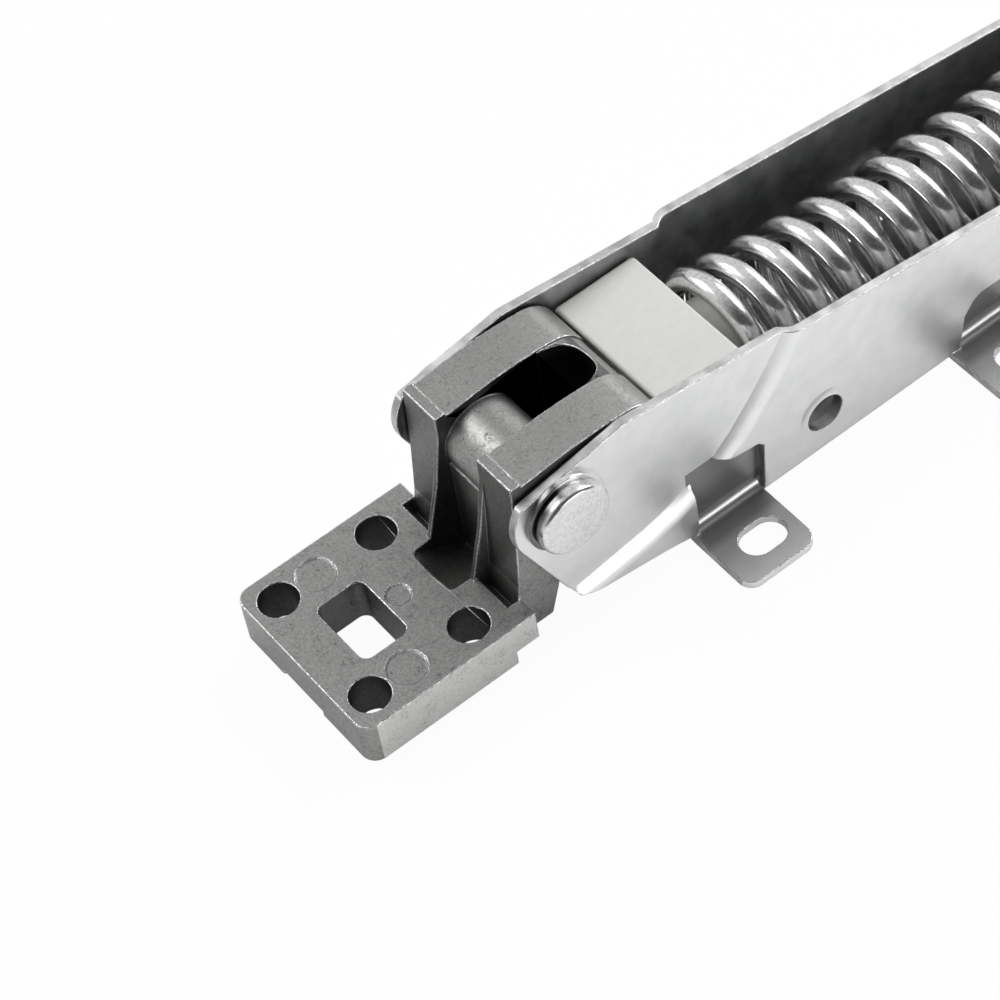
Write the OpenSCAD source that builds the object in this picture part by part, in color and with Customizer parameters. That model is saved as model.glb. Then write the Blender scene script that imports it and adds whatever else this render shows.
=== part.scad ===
// Spring loaded lid hinge. The origin is on the pivot pin's axis at mid-width, X runs along the
// channel towards the spring, Z points out of the channel's open side. All sizes in millimetres.

/* [Channel] */
// Thickness of the folded sheet
sheet_t = 1.5; // [1:0.1:2.5]
// Outer width of the channel behind the joggle
wide_w = 32; // [30:0.5:40]
// Outer width of the narrow front end that holds the pin
narrow_w = 29; // [27:0.5:29]
// Length of the channel from the pin to its rear end
channel_len = 150; // [140:1:190]
// Depth of the channel's mounting plane below the pin
mount_z = 25.6; // [25:0.1:27]
// Outer radius of the folded bottom edges
fold_r = 1.8; // [1.7:0.1:3.5]
// Radius of the front end about the pin
front_r = 8.6; // [8:0.1:10]
// Distance from the pin to the highest point of the rims
apex_x = 11.5; // [10:0.5:14]
// Height of the highest point of the rims above the pin
apex_z = 8.6; // [8:0.1:10]
// Fall of the rims towards the rear, in degrees
rim_fall = 7.24; // [5:0.1:7.5]
// Start of the channel's base behind the pin
base_x = 17.5; // [16:0.5:19]
// Width of the ramp between the narrow and the wide walls
ramp_w = 3; // [2:0.1:4]
// Distance from the pin at which the rims stop falling
rim_level_x = 112; // [100:1:120]

/* [Wall windows and tabs] */
// Distance from the pin to the front edge of the first tab
tab_x = 20.3; // [20:0.1:21.5]
// Length of a tab along the channel
tab_len = 13.4; // [13:0.1:15]
// Distance from the channel's middle to the outer edge of a tab
tab_reach = 28.4; // [28:0.1:34]
// Distance between the two tabs of one side
tab_pitch = 50.5; // [45:0.5:60]
// Corner radius of the tabs
tab_corner_r = 2.5; // [1:0.1:3]
// Inner radius of the bend between a tab and its pressed-in panel
tab_bend_r = 1.6; // [1:0.1:2]
// Width of the base between the tabs of the two sides
tab_base_w = 23; // [20:0.5:24]
// Distance from the channel's middle to the centre of a slot
slot_y = 22.5; // [22:0.1:24]
// Distance from a tab's front edge to the centre of its slot
slot_x = 7.6; // [6.5:0.1:7.8]
// Width of a slot
slot_w = 5.5; // [4.5:0.1:6]
// End-to-end length of a slot
slot_len = 7.8; // [6:0.1:9]
// Height of the first pressed-in panel at its front edge
window_h = 14.8; // [13:0.1:15]
// Height of the second pressed-in panel
window_h2 = 10.8; // [9:0.1:12]
// Fall of the first panel's top edge towards the rear
window_drop = 2.3; // [1:0.1:3]
// Diameter of the round hole in each wall
wall_hole_d = 6.5; // [5:0.1:8]
// Distance from the pin to the round wall hole
wall_hole_x = 45.6; // [44:0.1:50]
// Height of the round wall hole below the pin
wall_hole_z = 16.1; // [14:0.1:17]
// Width of the raised ring round that hole
burr_w = 1; // [0.5:0.1:1.5]
// Height of the raised ring round that hole
burr_h = 0.6; // [0.3:0.1:1]

/* [Pivot pin] */
// Diameter of the pin's shank
pin_d = 8; // [7:0.1:8.4]
// Radial clearance of the pin in its bores
pin_gap = 0.05; // [0.02:0.01:0.1]
// Diameter of the pin's head
pin_head_d = 12; // [11:0.1:13]
// Length by which the head stands out of the wall
pin_proud = 3.3; // [2.8:0.1:3.6]
// Diameter of the collar behind the head
collar_d = 13.4; // [12.6:0.1:14]
// Thickness of the collar behind the head
collar_t = 1; // [0.6:0.1:1.2]
// Diameter of the riveted far end
rivet_d = 11; // [10:0.1:12]
// Height of the riveted far end
rivet_h = 1.8; // [1.2:0.1:2.2]

/* [Arm plate] */
// Distance from the pin to the plate's free edge
plate_x = 39; // [38:0.5:44]
// Distance from the pin to the plate's inner edge
plate_in_x = 8.4; // [8.2:0.1:9]
// Width of the plate
plate_w = 32.2; // [32:0.1:36]
// Thickness of the plate over its pads
plate_t = 8.4; // [8:0.1:9]
// Depth of the plate's underside below the pin
plate_z = 24.1; // [24:0.1:25]
// Corner radius of the plate
plate_r = 2.5; // [1.5:0.1:3]
// Depth of the hollow underside between the pads
pad_t = 1.1; // [0.6:0.1:1.6]
// Diameter of the plate's fixing holes
plate_hole_d = 6.2; // [5:0.1:7]
// Distance between the fixing holes along the arm
plate_pitch_x = 17.7; // [17:0.1:18.2]
// Distance between the fixing holes across the arm
plate_pitch_y = 22.2; // [21.5:0.1:23]
// Distance from the pin to the middle of the fixing holes
plate_mid_x = 25.5; // [25:0.1:26]
// Length of the window in the plate
port_len = 8.1; // [6:0.1:8.5]
// Width of the window in the plate
port_w = 12.2; // [8:0.1:13]
// Corner radius of the window in the plate
port_r = 1.5; // [1:0.1:2]
// Distance from the pin to the middle of that window
port_x = 27.5; // [27:0.1:28]
// Depth of the shallow marks that the die's ejector pins leave
mark_d = 0.25; // [0.1:0.05:0.4]
// Distance from the pin to the front of the hollow in the plate's inner edge
well_x = 15.3; // [14:0.1:15.8]
// Depth of that hollow at the web, below the plate's top
well_d = 6.2; // [5:0.1:6.6]
// Distance from the pin to the front of the notches before the cheeks
notch_x = 10.8; // [10:0.1:11.5]

/* [Arm cheeks and cam] */
// Side clearance between a cheek and the channel's narrow wall
cheek_side = 0.5; // [0.3:0.05:0.8]
// Thickness of each cheek
cheek_t = 7.8; // [7.5:0.1:8.2]
// Height of the cheeks' top over the pin
cheek_z = 8; // [7:0.1:8.4]
// Greatest reach of the cam nose from the pin
nose_reach = 20; // [19.5:0.1:20.5]
// Radius of the cam nose
nose_r = 6.6; // [6.2:0.1:7]
// Height of the nose's middle over the pin
nose_z = 1.2; // [0.4:0.1:1.4]
// Height of the cam lobes over the pin
lobe_z = 8.2; // [7.6:0.1:8.6]
// Depth of the pocket's floor below the pin
pocket_z = 2.9; // [2.5:0.1:4]
// Depth of the deeper hollow behind the hub, below the pin
pit_z = 7; // [6:0.1:7.5]
// Distance from the pin to the end of that deeper hollow
pit_x = 11.4; // [10:0.1:12]
// Distance from the pin to the pocket's pointed end
pocket_end = 17; // [16.5:0.1:17.5]
// Length of the pocket's pointed end
pocket_point = 7.4; // [7:0.1:9]
// Height of the lobes over the nose between them
lobe_step = 0.3; // [0.2:0.1:0.6]
// Radius of the hub round the pin, between the cheeks
hub_r = 6.2; // [5.8:0.1:6.4]
// Thickness of the thin ribs before the cheeks
rib_t = 0.9; // [0.6:0.1:1.4]
// Distance from the pin to the front of the web between the cheeks
web_x = 5.8; // [5.4:0.1:6.2]
// Depth of the legs under the pin
leg_z = 24; // [23:0.1:24]

/* [Slider] */
// Front face of the slider, measured from the pin
slider_gap = 0.12; // [0.05:0.01:0.3]
// Length of the slider
slider_len = 14.8; // [13:0.1:16]
// Side clearance of the slider in the channel
slider_side = 0.2; // [0.1:0.05:0.4]
// Height of the slider's top over the pin
slider_z = 3.6; // [3:0.1:4]
// Radius of the slider's upper edges
slider_r = 1.2; // [0.6:0.1:2]
// Depth of the hollow seat for the cam nose
seat_cut = 3.5; // [3.4:0.1:3.8]
// Radius of that hollow seat
seat_cut_r = 15; // [14.8:0.1:15.5]
// Distance from the pin down to the middle of that hollow seat
seat_cut_z = 6.6; // [6.5:0.1:6.8]
// Clearance of the slider over the base
slider_under = 0.3; // [0.2:0.1:0.6]

/* [Spring] */
// Diameter of the spring wire
wire_d = 3.8; // [3:0.1:4]
// Mean diameter of the coils
coil_d = 18.2; // [17:0.1:19]
// Number of turns, closed ends included
turns = 17; // [14:1:20]
// Turn of the coil about its own axis, in degrees
coil_phase = 232; // [0:1:359]
// Height of the coil's middle under the pin, at the slider
coil_front_z = 6.2; // [6:0.1:7]
// Length over which the spring bows down to the base
bow_len = 48; // [40:1:60]
// Clearance of the spring over the base
coil_under = 1.65; // [0.2:0.05:2]

/* [Rear seat] */
// Thickness of the seat's flange
seat_t = 4.6; // [4:0.1:7]
// Length of the guide nose inside the spring
seat_nose = 9; // [5:0.5:12]
// Radial clearance of the guide noses inside the spring
seat_gap = 0.6; // [0.4:0.1:1]

/* [Hidden] */
$fn = 64;
eps = 0.02;
wide_y = wide_w/2;
narrow_y = narrow_w/2;
base_top = -mount_z + sheet_t;
rim_slope = tan(rim_fall);
pin_r = pin_d/2;
bore_r = pin_r + pin_gap;
cheek_w = narrow_w - 2*sheet_t - 2*cheek_side;
cheek_y = cheek_w/2;
cheek_in = cheek_y - cheek_t;
pocket_w = 2*cheek_in;
plate_top = -plate_z + plate_t;
nose_c = nose_reach - nose_r;
slider_x = nose_reach + slider_gap;
slider_rear = slider_x + slider_len;
slider_y = narrow_y - sheet_t - slider_side;
wire_r = wire_d/2;
coil_r = coil_d/2;
nose_rad = coil_r - wire_r - seat_gap;
seat_face = channel_len - sheet_t - seat_t;
spring_x0 = slider_rear + wire_r + 0.05;
spring_x1 = seat_face - wire_r - 0.05;
coil_rest_z = base_top + coil_r + wire_r + coil_under;
closed = wire_d + 0.1;
open_pitch = (spring_x1 - spring_x0 - 2*closed)/(turns - 2);
seat_z = coil_rest_z;

function rim_z(x) = apex_z + (apex_x - min(x, rim_level_x))*rim_slope;
function arc_pts(cx, cz, r, a0, a1, n) =
    [for (i = [0:n]) let (a = a0 + (a1 - a0)*i/n) [cx + r*cos(a), cz + r*sin(a)]];

// Line of the joggle on the wall, from the rim down to the front end.
crease = [
    [40.4, rim_z(40.4) + 2], [40.4, rim_z(40.4) - 0.3], [37.7, 0.7], [33.8, -4.0], [29.3, -8.8],
    [25.7, -11.5], [22.9, -13.0], [17.8, -15.3], [12.8, -16.6], [0.5, -18.5], [-4, -19.1]
];
function unit(v) = v/norm(v);
function crease_n(i) =
    let (a = crease[max(i - 1, 0)], b = crease[min(i + 1, len(crease) - 1)], d = unit(b - a))
    [-d.y, d.x];
function crease_at(i, s) = crease[i] + crease_n(i)*s;

// Side outline of a channel wall.
module wall_outline() {
    polygon(concat(
        arc_pts(0, 0, front_r, 142, 205.5, 12),
        [[-1.5, -17.5], [0, -20], [3, -20.9], [15, -22.7], [base_x, -23.2], [tab_x, -23.8],
         [tab_x + 0.5, -mount_z], [channel_len, -mount_z],
         [channel_len, rim_z(channel_len)], [rim_level_x, rim_z(rim_level_x)],
         [apex_x + 1.5, rim_z(apex_x + 1.5)], [apex_x, apex_z - 0.05], [apex_x - 1.5, apex_z - 0.35]]));
}

// Region in front of the joggle line.
module narrow_region() {
    polygon(concat([for (i = [0:len(crease) - 1]) crease[i]], [[-20, -19.1], [-20, 20], [40.4, 20]]));
}

// Region behind the ramp.
module wide_region() {
    polygon(concat([for (i = [0:len(crease) - 1]) crease_at(i, ramp_w)],
        [[-20, crease_at(len(crease) - 1, ramp_w).y], [-20, -40],
         [channel_len + 5, -40], [channel_len + 5, 20]]));
}

module across(y0, y1) {
    translate([0, y1, 0]) rotate([90, 0, 0]) linear_extrude(y1 - y0) children();
}

// The joggle's ramp on the +Y side: crisp at the narrow wall, blended into the wide one.
module ramp() {
    lap = 0.4;
    steps = 4;
    n = len(crease);
    k = 2*(steps + 3);
    function out_y(u) = narrow_y + (wide_y - narrow_y)*(1 - (1 - u)*(1 - u)) - eps;
    function face_pt(i, s, y) = let (p = crease_at(i, s)) [p.x, y, p.y];
    pts = [for (i = [0:n - 1]) each concat(
        [face_pt(i, -lap, out_y(0))],
        [for (j = [0:steps]) face_pt(i, ramp_w*j/steps, out_y(j/steps))],
        [face_pt(i, ramp_w + lap, out_y(1)), face_pt(i, ramp_w + lap, out_y(1) - sheet_t + 2*eps)],
        [for (j = [steps:-1:0]) face_pt(i, ramp_w*j/steps, out_y(j/steps) - sheet_t + 2*eps)],
        [face_pt(i, -lap, out_y(0) - sheet_t + 2*eps)])];
    faces = concat(
        [[for (j = [0:k - 1]) j]],
        [for (i = [0:n - 2]) for (j = [0:k - 1])
            [i*k + j, (i + 1)*k + j, (i + 1)*k + (j + 1)%k, i*k + (j + 1)%k]],
        [[for (j = [k - 1:-1:0]) (n - 1)*k + j]]);
    polyhedron(points = pts, faces = faces, convexity = 6);
}

// Cross-section of the folded channel.
module u_section() {
    difference() {
        union() {
            translate([-wide_y, -mount_z + fold_r]) square([wide_w, 60]);
            translate([-wide_y + fold_r, -mount_z]) square([wide_w - 2*fold_r, fold_r + 1]);
            for (s = [-1, 1]) translate([s*(wide_y - fold_r), -mount_z + fold_r]) circle(fold_r);
        }
        union() {
            translate([-wide_y + sheet_t, -mount_z + fold_r])
                square([wide_w - 2*sheet_t, 70]);
            translate([-wide_y + fold_r, base_top]) square([wide_w - 2*fold_r, fold_r]);
            for (s = [-1, 1])
                translate([s*(wide_y - fold_r), -mount_z + fold_r]) circle(max(fold_r - sheet_t, 0.1));
        }
    }
}

module along_x(x0, x1) {
    translate([x0, 0, 0]) rotate([90, 0, 90]) linear_extrude(x1 - x0) children();
}

// Opening that a pressed-in panel leaves in the wall, as a side outline; k is 0 or 1, and g is
// the length by which it grows on three sides.
module window_outline(k, g = 0) {
    x0 = tab_x + 1.2 - g;
    x1 = tab_x + tab_len + 0.7 + g;
    top = -mount_z + (k == 0 ? window_h : window_h2) + g;
    if (k == 0)
        polygon([[x0 - 0.3, -mount_z - 1], [x0, -mount_z + 4], [x0, top - 1.2], [x0 + 0.6, top - 0.1],
            [x0 + 2, top], [x0 + 4, top - 0.3*window_drop], [x0 + 7, top - 0.8*window_drop],
            [x1 - 1, top - window_drop - 0.3], [x1, top - window_drop - 1.4],
            [x1 - 0.4, -mount_z + 3], [x1 - 0.6, -mount_z - 1]]);
    else
        polygon([[x0, -mount_z - 1], [x0 + 0.8, -mount_z + 3], [x0 + 1.6, top - 2.9],
            [x0 + 3.4, top - 0.6], [x0 + 4.8, top + 0.1], [x1 - 1, top - 0.1], [x1, top - 1.3],
            [x1 - 0.4, -mount_z + 3], [x1 - 0.6, -mount_z - 1]]);
}

// Pressed-in panel, its bend and the outward tab with its slot, on the +Y side.
module tab(k) {
    bend_y = narrow_y + tab_bend_r;
    bend_z = base_top + tab_bend_r;
    r1 = tab_bend_r + sheet_t;
    // panel, reaching behind the wall's edges
    across(narrow_y - sheet_t, narrow_y + eps) intersection() {
        window_outline(k, 0.7);
        translate([tab_x, bend_z]) square([tab_len + 1.2, 30]);
    }
    difference() {
        union() {
            along_x(tab_x, tab_x + tab_len) intersection() {
                translate([bend_y, bend_z]) difference() {
                    circle(r1);
                    circle(tab_bend_r);
                }
                translate([bend_y - r1, bend_z - r1]) square([r1, r1 + eps]);
            }
            translate([0, 0, -mount_z]) linear_extrude(sheet_t) {
                translate([tab_x, bend_y - eps]) square([tab_len, tab_reach - bend_y - tab_corner_r]);
                translate([tab_x + tab_corner_r, bend_y - eps])
                    square([tab_len - 2*tab_corner_r, tab_reach - bend_y]);
                for (dx = [tab_corner_r, tab_len - tab_corner_r])
                    translate([tab_x + dx, tab_reach - tab_corner_r]) circle(tab_corner_r);
            }
        }
        translate([tab_x + slot_x, slot_y, -mount_z - 1]) {
            for (s = [-1, 1]) translate([s*(slot_len - slot_w)/2, 0, 0]) cylinder(d = slot_w, h = sheet_t + 2);
            translate([-(slot_len - slot_w)/2, -slot_w/2, 0]) cube([slot_len - slot_w, slot_w, sheet_t + 2]);
        }
    }
}

module housing() color([0.78, 0.79, 0.80]) {
    difference() {
        union() {
            intersection() {
                along_x(-12, channel_len) u_section();
                across(-wide_y - 1, wide_y + 1) intersection() { wall_outline(); wide_region(); }
            }
            for (m = [0, 1]) mirror([0, m, 0]) {
                across(narrow_y - sheet_t, narrow_y) intersection() { wall_outline(); narrow_region(); }
                intersection() {
                    ramp();
                    across(0, wide_y + 1) wall_outline();
                }
                translate([wall_hole_x, wide_y - eps, -wall_hole_z]) rotate([-90, 0, 0])
                    cylinder(r1 = wall_hole_d/2 + burr_w, r2 = wall_hole_d/2 + 0.3, h = burr_h + eps);
            }
            translate([channel_len - sheet_t, -wide_y + sheet_t - eps, base_top - eps])
                cube([sheet_t, wide_w - 2*sheet_t + 2*eps, rim_z(channel_len) - base_top]);
        }
        translate([-20, -wide_y + sheet_t, -mount_z - 5]) cube([base_x + 20, wide_w - 2*sheet_t, 8]);
        for (k = [0, 1]) translate([k*tab_pitch, 0, 0]) for (m = [0, 1]) mirror([0, m, 0])
            across(narrow_y, wide_y + 2) window_outline(k);
        for (k = [0, 1]) translate([k*tab_pitch, 0, 0]) for (m = [0, 1]) mirror([0, m, 0])
            translate([tab_x - 0.6, tab_base_w/2, -mount_z - 1])
                cube([tab_len + 1.2, narrow_y - tab_base_w/2, 1 + sheet_t + tab_bend_r]);
        rotate([90, 0, 0]) cylinder(r = pin_r, h = wide_w + 4, center = true);
        translate([wall_hole_x, 0, -wall_hole_z]) rotate([90, 0, 0])
            cylinder(d = wall_hole_d, h = wide_w + 4, center = true);
    }
    for (k = [0, 1]) translate([k*tab_pitch, 0, 0]) for (m = [0, 1]) mirror([0, m, 0]) tab(k);
}

// Pin with its head and collar on the -Y side and the riveted end on the +Y side.
module hinge_pin() color([0.85, 0.85, 0.86]) {
    y0 = -narrow_y;
    y1 = narrow_y;
    rotate([-90, 0, 0]) rotate_extrude() polygon([
        [0, y0 - pin_proud], [pin_head_d/2 - 0.5, y0 - pin_proud], [pin_head_d/2, y0 - pin_proud + 0.5],
        [pin_head_d/2, y0 - collar_t - 0.5], [pin_head_d/2 - 0.5, y0 - collar_t - 0.3],
        [pin_head_d/2 - 0.5, y0 - collar_t], [collar_d/2 - 0.2, y0 - collar_t],
        [collar_d/2, y0 - collar_t + 0.2], [collar_d/2, y0],
        [pin_r, y0], [pin_r, y1],
        [rivet_d/2, y1], [rivet_d/2, y1 + rivet_h*0.35], [rivet_d/2 - 0.5, y1 + rivet_h*0.62],
        [rivet_d/2 - 1.4, y1 + rivet_h*0.85], [rivet_d/2 - 2.8, y1 + rivet_h], [0, y1 + rivet_h]]);
}

// Side outline of a cheek with its cam lobe; d is the length by which its upper side lies deeper.
module cheek_outline(d = 0) {
    polygon(concat(
        [[-6.9, cheek_z - d], [-5.1, cheek_z - d], [-4.9, cheek_z - 0.6 - d], [-2.5, cheek_z - 0.4 - d],
         [0, lobe_z - 0.3 - d], [4, lobe_z - d], [8, lobe_z - d], [11, lobe_z - 0.15 - d]],
        arc_pts(nose_c, nose_z, nose_r - d, 78, -80, 24),
        [[11.5, -8.2 + d], [6, -10.4], [2.2, -12.8], [0.2, -15.5], [-1.3, -18], [-3.3, -leg_z],
         [-plate_in_x - 0.4, -leg_z], [-plate_in_x - 0.4, plate_top - 1], [-8.3, -13.4],
         [-7.4, -3.5], [-7, 3.8]]));
}

// Core between the cheeks: the hub with the web and the cam behind it.
module core() {
    intersection() {
        across(-cheek_in - eps, cheek_in + eps) cheek_outline(lobe_step);
        translate([-web_x, -cheek_w, -40]) cube([60, 2*cheek_w, 80]);
    }
    rotate([90, 0, 0]) cylinder(r = hub_r, h = 2*cheek_in + 2*eps, center = true);
}

// Side outline of a thin rib before a cheek.
module rib_outline() {
    polygon([[-6.7, 5.4], [-8.8, -6], [-10.2, -11], [-11.5, plate_top], [-11.6, plate_top - 1],
        [-6.5, plate_top - 1], [-6.5, 5.4]]);
}

// Pocket between the lobes: straight sides and a pointed, rounded end.
module pocket_outline() {
    xc = pocket_end - pocket_point;
    polygon(concat([[-30, -pocket_w/2], [xc, -pocket_w/2]],
        [for (i = [1:23]) let (a = -90 + i*7.5)
            [xc + pocket_point*pow(cos(a), 0.8), pocket_w/2*sign(sin(a))*pow(abs(sin(a)), 0.8)]],
        [[xc, pocket_w/2], [-30, pocket_w/2]]));
}

module plate_outline() {
    x0 = -plate_x;
    x1 = -plate_in_x;
    difference() {
        union() {
            translate([x0 + plate_r, -plate_w/2]) square([x1 - x0 - plate_r, plate_w]);
            translate([x0, -plate_w/2 + plate_r]) square([plate_r + 1, plate_w - 2*plate_r]);
            for (s = [-1, 1]) translate([x0 + plate_r, s*(plate_w/2 - plate_r)]) circle(plate_r);
        }
        translate([-port_x, 0]) {
            square([port_len - 2*port_r, port_w], center = true);
            square([port_len, port_w - 2*port_r], center = true);
            for (sx = [-1, 1], sy = [-1, 1])
                translate([sx*(port_len/2 - port_r), sy*(port_w/2 - port_r)]) circle(port_r);
        }
    }
}

module hinge_arm() color([0.52, 0.52, 0.53]) {
    difference() {
        union() {
            difference() {
                translate([0, 0, -plate_z]) linear_extrude(plate_t) plate_outline();
                // hollow underside between the pads and the steps at the inner edge
                translate([-plate_x - 1, -4.1, -plate_z - 1]) cube([6.5, 9.5, 1 + pad_t]);
                translate([-12.5, -plate_w/2 - 1, -plate_z - 1]) cube([10, plate_w/2 + 1 - cheek_y, 3.7]);
                translate([-12.5, cheek_y, -plate_z - 1]) cube([10, plate_w/2 + 1 - cheek_y, 3.7]);
                // sloping notches before the cheeks
                for (m = [0, 1]) mirror([0, m, 0]) across(cheek_in + rib_t, cheek_y)
                    polygon([[-notch_x, plate_top], [-notch_x, plate_top + 1], [0, plate_top + 1],
                        [0, plate_top - 5], [-8, plate_top - 5]]);
            }
            // foot between plate and web
            across(-cheek_in - eps, cheek_in + eps)
                polygon([[-10, -leg_z], [-web_x + 1, -leg_z], [-web_x + 1, plate_top], [-10, plate_top]]);
            for (m = [0, 1]) mirror([0, m, 0]) {
                across(cheek_in, cheek_y) cheek_outline();
                across(cheek_in, cheek_in + rib_t) rib_outline();
            }
            difference() {
                core();
                // pocket between the lobes, open to the hub, with a deeper hollow behind the hub
                difference() {
                    union() {
                        translate([0, 0, -pocket_z]) linear_extrude(30) pocket_outline();
                        translate([0, -pocket_w/2, -pit_z]) cube([pit_x, pocket_w, 20]);
                    }
                    rotate([90, 0, 0]) cylinder(r = hub_r, h = cheek_w, center = true);
                }
            }
        }
        // hollow that slopes down from the plate to the web
        intersection() {
            across(-cheek_in, cheek_in)
                polygon([[-well_x, plate_top], [-well_x, plate_top + 1], [-web_x, plate_top + 1],
                    [-web_x, plate_top - well_d]]);
            translate([0, 0, -plate_z]) linear_extrude(plate_t + 2) {
                translate([-well_x + 1.5, -cheek_in]) square([well_x, 2*cheek_in]);
                translate([-well_x, -cheek_in + 1.5]) square([well_x, 2*cheek_in - 3]);
                for (s = [-1, 1]) translate([-well_x + 1.5, s*(cheek_in - 1.5)]) circle(1.5);
            }
        }
        rotate([90, 0, 0]) cylinder(r = bore_r, h = cheek_w + 4, center = true);
        for (sx = [-1, 1], sy = [-1, 1])
            translate([-plate_mid_x + sx*plate_pitch_x/2, sy*plate_pitch_y/2, -plate_z - 1])
                cylinder(d = plate_hole_d, h = plate_t + 2);
        // ejector marks
        for (s = [-1, 1]) translate([-27.7, s*11, plate_top - mark_d]) cylinder(r = 3, h = 1);
        translate([-21, 0, plate_top - mark_d]) cylinder(r = 1.9, h = 1);
    }
}

module slider() color([0.88, 0.88, 0.86]) {
    z0 = base_top + slider_under;
    difference() {
        union() {
            along_x(slider_x, slider_rear) union() {
                translate([-slider_y, z0]) square([2*slider_y, slider_z - slider_r - z0]);
                translate([-slider_y + slider_r, z0]) square([2*(slider_y - slider_r), slider_z - z0]);
                for (s = [-1, 1]) translate([s*(slider_y - slider_r), slider_z - slider_r]) circle(slider_r);
            }
            translate([slider_rear - eps, 0, -coil_front_z - 0.7]) rotate([0, 90, 0])
                cylinder(r = nose_rad - 0.4, h = closed + 1);
        }
        // hollow seat that clears the turning cam nose
        translate([slider_x - seat_cut_r + seat_cut, 0, -seat_cut_z]) rotate([90, 0, 0])
            cylinder(r = seat_cut_r, h = wide_w, center = true);
    }
}

// Height of the coil's middle at x: bowed down to the base, then straight.
function coil_z(x) =
    let (u = max(0, 1 - (x - spring_x0)/bow_len))
    coil_rest_z + (-coil_front_z - coil_rest_z)*u*u;
function coil_x(t) =
    t < 1 ? spring_x0 + closed*t
    : t < turns - 1 ? spring_x0 + closed + open_pitch*(t - 1)
    : spring_x1 - closed*(turns - t);
function coil_pt(t) =
    let (a = -360*t + coil_phase, x = coil_x(t)) [x, coil_r*sin(a), coil_z(x) + coil_r*cos(a)];

module spring() color([0.80, 0.80, 0.82]) {
    seg = 20;
    k = 8;
    n = turns*seg;
    pts = [for (i = [0:n])
        let (t = i/seg, a = -360*t + coil_phase, c = coil_pt(t), h = 0.02,
             g = unit(coil_pt(min(t + h, turns)) - coil_pt(max(t - h, 0))),
             e = unit(cross(g, [0, sin(a), cos(a)])), r = cross(e, g))
        each [for (j = [0:k - 1]) c + wire_r*(cos(j*360/k)*r + sin(j*360/k)*e)]];
    faces = concat(
        [[for (j = [0:k - 1]) j]],
        [for (i = [0:n - 1]) for (j = [0:k - 1])
            [i*k + j, (i + 1)*k + j, (i + 1)*k + (j + 1)%k, i*k + (j + 1)%k]],
        [[for (j = [k - 1:-1:0]) n*k + j]]);
    polyhedron(points = pts, faces = faces, convexity = 20);
}

module spring_seat() color([0.88, 0.88, 0.86]) {
    z0 = base_top;
    top = rim_z(channel_len) - 0.5;
    translate([seat_face, -wide_y + sheet_t + slider_side, z0])
        cube([seat_t, wide_w - 2*sheet_t - 2*slider_side, top - z0]);
    translate([seat_face - seat_nose, 0, seat_z]) rotate([0, 90, 0]) cylinder(r = nose_rad, h = seat_nose + eps);
}

housing();
hinge_arm();
hinge_pin();
slider();
spring();
spring_seat();
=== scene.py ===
"""Looks of the spring loaded lid hinge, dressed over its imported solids, in metres."""
import logging
import math
from dataclasses import dataclass, field
from enum import Enum
from typing import Any, Callable, Optional, Sequence

import bmesh
import bpy
import numpy as np
from mathutils import Matrix, Vector


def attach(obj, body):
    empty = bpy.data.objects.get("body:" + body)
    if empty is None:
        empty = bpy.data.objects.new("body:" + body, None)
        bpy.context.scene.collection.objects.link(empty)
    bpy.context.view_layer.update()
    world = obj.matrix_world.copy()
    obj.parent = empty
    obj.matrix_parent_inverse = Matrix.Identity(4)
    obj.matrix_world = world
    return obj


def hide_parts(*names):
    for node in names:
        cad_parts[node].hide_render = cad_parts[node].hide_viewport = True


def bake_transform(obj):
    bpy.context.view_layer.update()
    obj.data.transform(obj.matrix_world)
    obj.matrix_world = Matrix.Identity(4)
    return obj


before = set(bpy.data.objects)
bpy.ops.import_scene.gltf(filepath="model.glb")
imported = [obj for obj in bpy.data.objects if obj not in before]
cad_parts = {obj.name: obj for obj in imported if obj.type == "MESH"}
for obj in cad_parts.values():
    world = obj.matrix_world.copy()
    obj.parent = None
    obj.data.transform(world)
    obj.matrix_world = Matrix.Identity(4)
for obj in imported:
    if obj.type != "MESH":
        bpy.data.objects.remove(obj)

MM = 0.001
WELD = 1e-7
LOG = logging.getLogger("lid_hinge")
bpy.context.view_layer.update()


class Body(Enum):
    """Rigid bodies of the hinge, as the record names them."""

    CHANNEL = "channel"
    ARM = "arm"
    SLIDER = "slider"


class Slot(Enum):
    """Material slots of the record."""

    SHEET = "zinc_sheet"
    CAST = "die_cast"
    PIN = "pin_steel"
    PLASTIC = "white_plastic"
    WIRE = "spring_steel"


# ---------------------------------------------------------------- colours and nodes


def srgb(code: str) -> tuple[float, float, float, float]:
    """Turn an sRGB hex colour into linear light.

    Args:
        code: six hex digits.

    Returns:
        Red, green and blue in linear light, with alpha 1.
    """
    parts = [int(code[i : i + 2], 16) / 255 for i in (0, 2, 4)]
    lin = [c / 12.92 if c <= 0.04045 else ((c + 0.055) / 1.055) ** 2.4 for c in parts]
    return (lin[0], lin[1], lin[2], 1.0)


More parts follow.
